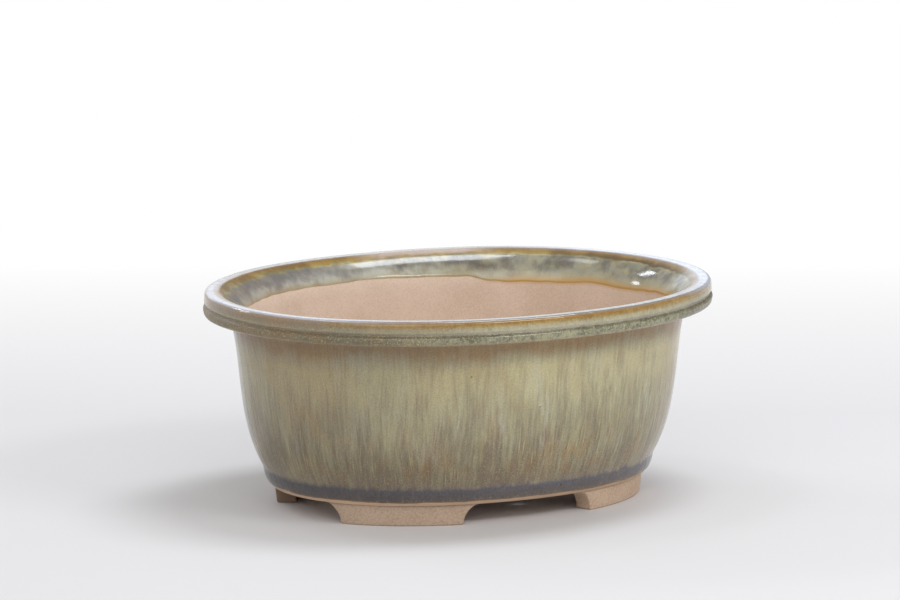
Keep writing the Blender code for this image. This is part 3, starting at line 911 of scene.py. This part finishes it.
def block_lattice(us, vs, ws):
    """Points and outward quads of the six faces of a block gridded along each axis."""
    index, lattice, faces = {}, [], []

    def corner(*key):
        if key not in index:
            index[key] = len(lattice)
            lattice.append((us[key[0]], vs[key[1]], ws[key[2]]))
        return index[key]

    ends = len(us) - 1, len(vs) - 1, len(ws) - 1
    for flat, flips in ((2, (False, True)), (1, (True, False)), (0, (False, True))):
        first, second = [axis for axis in range(3) if axis != flat]
        for a in range(ends[first]):
            for b in range(ends[second]):
                for level, flip in zip((0, ends[flat]), flips):
                    quad = []
                    for step_a, step_b in ((0, 0), (0, 1), (1, 1), (1, 0)):
                        key = [level] * 3
                        key[first], key[second] = a + step_a, b + step_b
                        quad.append(corner(*key))
                    faces.append(quad[::-1] if flip else quad)
    return np.array(lattice), np.array(faces)


def softened_edges(points):
    """The block with its lower and upright edges rounded."""
    core = np.stack([np.clip(points[:, 0], FOOT_EDGE, FOOT_LENGTH - FOOT_EDGE),
                     np.clip(points[:, 1], FOOT_EDGE, FOOT_THICKNESS - FOOT_EDGE),
                     np.maximum(points[:, 2], FOOT_EDGE)], axis=1)
    arm = points - core
    reach = np.linalg.norm(arm, axis=1, keepdims=True)
    return core + np.where(reach > 0, arm / np.maximum(reach, 1e-9) * FOOT_EDGE, 0.0)


def build_foot(name, side_x, side_y, material):
    """A foot of the quarter with positive x and y, turned over to its own quarter by the two signs."""
    block, faces = block_lattice(
        graded(FOOT_LENGTH, FOOT_EDGE, 0.8), graded(FOOT_THICKNESS, FOOT_EDGE, 0.9),
        np.concatenate([np.linspace(0.0, SOLE_WIDTH, 6)[:-1], np.linspace(SOLE_WIDTH, FOOT_HEIGHT, 14)]))
    along, depth, height = softened_edges(block).T
    # the ends are square to the oval, so every depth shares the same stretch of it
    base, outward = oval(8000)
    quarter = (base[:, 0] > 0) & (base[:, 1] > 0)
    base, outward = base[quarter], outward[quarter]
    outer_line = base - outward * FOOT_INSET_GROUND * MM
    length = np.concatenate([[0.0], np.cumsum(np.hypot(*np.diff(outer_line, axis=0).T))])
    start = np.interp(ARCH_Y * MM, outer_line[:, 1], length)
    end = np.interp(-ARCH_X * MM, -outer_line[:, 0], length)
    spread = cove(height) * MM
    along = start - spread + (end - start + 2.0 * spread) * along / FOOT_LENGTH
    inset = (FOOT_INSET_GROUND + (FOOT_INSET_TOP - FOOT_INSET_GROUND) * height / FOOT_HEIGHT + depth) * MM
    place = np.stack([np.interp(along, length, base[:, k]) - np.interp(along, length, outward[:, k]) * inset
                      for k in (0, 1)], axis=1)
    points = np.stack([place[:, 0] * side_x, place[:, 1] * side_y, height * MM], axis=1)
    points[:, :2] += waves(points, FOOT_WAVES)[:, None] * np.sign(points[:, :2])
    points[:, 2] = np.clip(points[:, 2], 0.0, FOOT_TOP)
    mesh = bpy.data.meshes.new(name)
    fill_mesh(mesh, points, faces)
    return finish_piece(mesh, material)


# Stage and lights
# Plan directions away from the photograph's camera and to its right
CAMERA_AHEAD = (0.515, 0.857, 0.0)
CAMERA_RIGHT = (0.857, -0.515, 0.0)
# The floor turns plain white between these distances behind the pot
FLOOR_FADE = (0.22, 0.66)
WORLD_LIGHT = 0.50
# Elevations between which the backdrop dims, and its (sine of the direction to the right, share) at the side
BACKDROP_TOP, BACKDROP_END = radians(12), radians(42)
BACKDROP_SIDE = [(0.03, 1.0), (0.10, 0.3)]
WHITE = (1.0, 1.0, 1.0)
COOL_WHITE = (0.88, 0.93, 1.0)


def build_floor():
    """A pale floor that catches the shadow; far behind the pot it is seen as plain white."""
    bpy.ops.mesh.primitive_grid_add(x_subdivisions=8, y_subdivisions=8, size=24.0)
    floor = bpy.context.object
    floor.name = "studio_floor"
    s = Shader("pale_floor")
    s.set("Base Color", (0.74, 0.725, 0.73, 1.0))
    s.set("Roughness", 0.9)
    s.set("Specular IOR Level", 0.2)
    far = s.vector_maths("DOT_PRODUCT", s.place, CAMERA_AHEAD)["Value"]
    share = s.product(s.range(far, *FLOOR_FADE), s.seen())
    white = s.node("Emission", {"Color": (*WHITE, 1.0), "Strength": 1.0})
    both = s.node("MixShader", {0: share, 1: s.surface.outputs[0], 2: white.outputs[0]})
    s.put(s.tree.nodes["Material Output"].inputs["Surface"], both.outputs[0])
    floor.data.materials.append(s.material)


def build_world():
    """Even white light; a camera or mirror ray sees a white backdrop that dims above its top edge.

    A mirror ray sees it dim to the right as well.
    """
    world = bpy.data.worlds.new("soft_white")
    bpy.context.scene.world = world
    world.use_nodes = True
    w = Nodes(world.node_tree)
    direction = w.node("TexCoord").outputs["Generated"]
    backdrop = w.range(w.axis(direction, "Z"), sin(BACKDROP_TOP), sin(BACKDROP_END), 1.0, WORLD_LIGHT)
    side = w.ramp(w.vector_maths("DOT_PRODUCT", direction, CAMERA_RIGHT)["Value"], BACKDROP_SIDE)
    plain = w.maths("MAXIMUM", side, w.node("LightPath").outputs["Is Camera Ray"])
    background = world.node_tree.nodes["Background"]
    w.put(background.inputs["Color"], (*WHITE, 1.0))
    w.put(background.inputs["Strength"], w.range(w.seen(), 0.0, 1.0, WORLD_LIGHT, w.product(backdrop, plain)))


def area_light(name, place, aim, size, watts, colour):
    lamp = bpy.data.lights.new(name, "AREA")
    lamp.shape = "RECTANGLE"
    lamp.size, lamp.size_y = size
    lamp.energy = watts
    lamp.color = colour
    thing = bpy.data.objects.new(name, lamp)
    bpy.context.scene.collection.objects.link(thing)
    thing.location = place
    thing.rotation_euler = (Vector(aim) - Vector(place)).to_track_quat("-Z", "Y").to_euler()
    thing.visible_camera = False


def softbox(name, direction, distance, size, watts, colour=WHITE):
    """A lamp turned to the pot, in a direction and at a distance from it."""
    area_light(name, AIM + Vector(direction).normalized() * distance, AIM, size, watts, colour)


def build_lights():
    softbox("front_panel", (-0.50, -0.70, 0.52), 2.2, (2.0, 1.4), 12.0)
    softbox("front_softbox", (0.26, -0.76, 0.60), 1.7, (0.75, 0.25), 6.0)
    area_light("overhead_strip", (0.42, -0.04, 1.40), (0.0, -0.04, 0.04), (0.40, 0.70), 8.2, COOL_WHITE)
    softbox("overhead_softbox", (-0.25, 0.25, 0.93), 1.6, (0.3, 0.3), 1.2)
    softbox("back_softbox", (-0.28, 0.76, 0.585), 1.5, (0.42, 0.09), 1.7, (0.90, 0.95, 1.0))
    softbox("back_small_softbox", (-0.61, 0.68, 0.42), 1.5, (0.18, 0.12), 0.9, (0.90, 0.95, 1.0))
    softbox("back_panel", (0.313, 0.909, 0.274), 4.0, (2.3, 0.75), 4.1, (0.70, 0.84, 1.0))


# The photograph's camera; the aim point stands right of and below the middle of the frame, in its pixels
AZIMUTH, ELEVATION = radians(-31.02), radians(10.39)
DISTANCE = 4.433
AIM = Vector((0.0, 0.0, 0.045))
FOCAL_PIXELS = 9349.0
AIM_RIGHT, AIM_DOWN = 8.97, 102.72
FRAME_PIXELS = 900.0
SENSOR_WIDTH = 36.0


def build_camera():
    back = Vector((sin(AZIMUTH) * cos(ELEVATION), -cos(AZIMUTH) * cos(ELEVATION), sin(ELEVATION)))
    ahead = -back
    right = ahead.cross(Vector((0, 0, 1))).normalized()
    up = right.cross(ahead)
    yaw, pitch = atan(AIM_RIGHT / FOCAL_PIXELS), atan(AIM_DOWN / FOCAL_PIXELS)
    ahead, right = ahead * cos(yaw) - right * sin(yaw), right * cos(yaw) + ahead * sin(yaw)
    ahead, up = ahead * cos(pitch) + up * sin(pitch), up * cos(pitch) - ahead * sin(pitch)
    data = bpy.data.cameras.new("camera")
    data.sensor_width = SENSOR_WIDTH
    data.lens = SENSOR_WIDTH * FOCAL_PIXELS / FRAME_PIXELS
    data.clip_end = 100.0
    camera = bpy.data.objects.new("camera", data)
    bpy.context.scene.collection.objects.link(camera)
    place = AIM + back * DISTANCE
    camera.matrix_world = Matrix((
        (right.x, up.x, -ahead.x, place.x),
        (right.y, up.y, -ahead.y, place.y),
        (right.z, up.z, -ahead.z, place.z),
        (0.0, 0.0, 0.0, 1.0),
    ))
    bpy.context.scene.camera = camera


def place_piece(piece, node):
    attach(piece, "root")
    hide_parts(node)


glaze = glaze_finish()
foot_clay = clay_finish()
place_piece(build_rim(glaze), "rim")
place_piece(build_wall(glaze), "pot_wall")
place_piece(build_slab(glaze), "floor_slab")
for word_y, side_y in (("front", -1), ("back", 1)):
    for word_x, side_x in (("left", -1), ("right", 1)):
        node = "foot_%s_%s" % (word_y, word_x)
        place_piece(build_foot(node + "_fired", side_x, side_y, foot_clay), node)
build_floor()
build_world()
build_lights()
build_camera()
bpy.context.scene.view_settings.view_transform = "Standard"
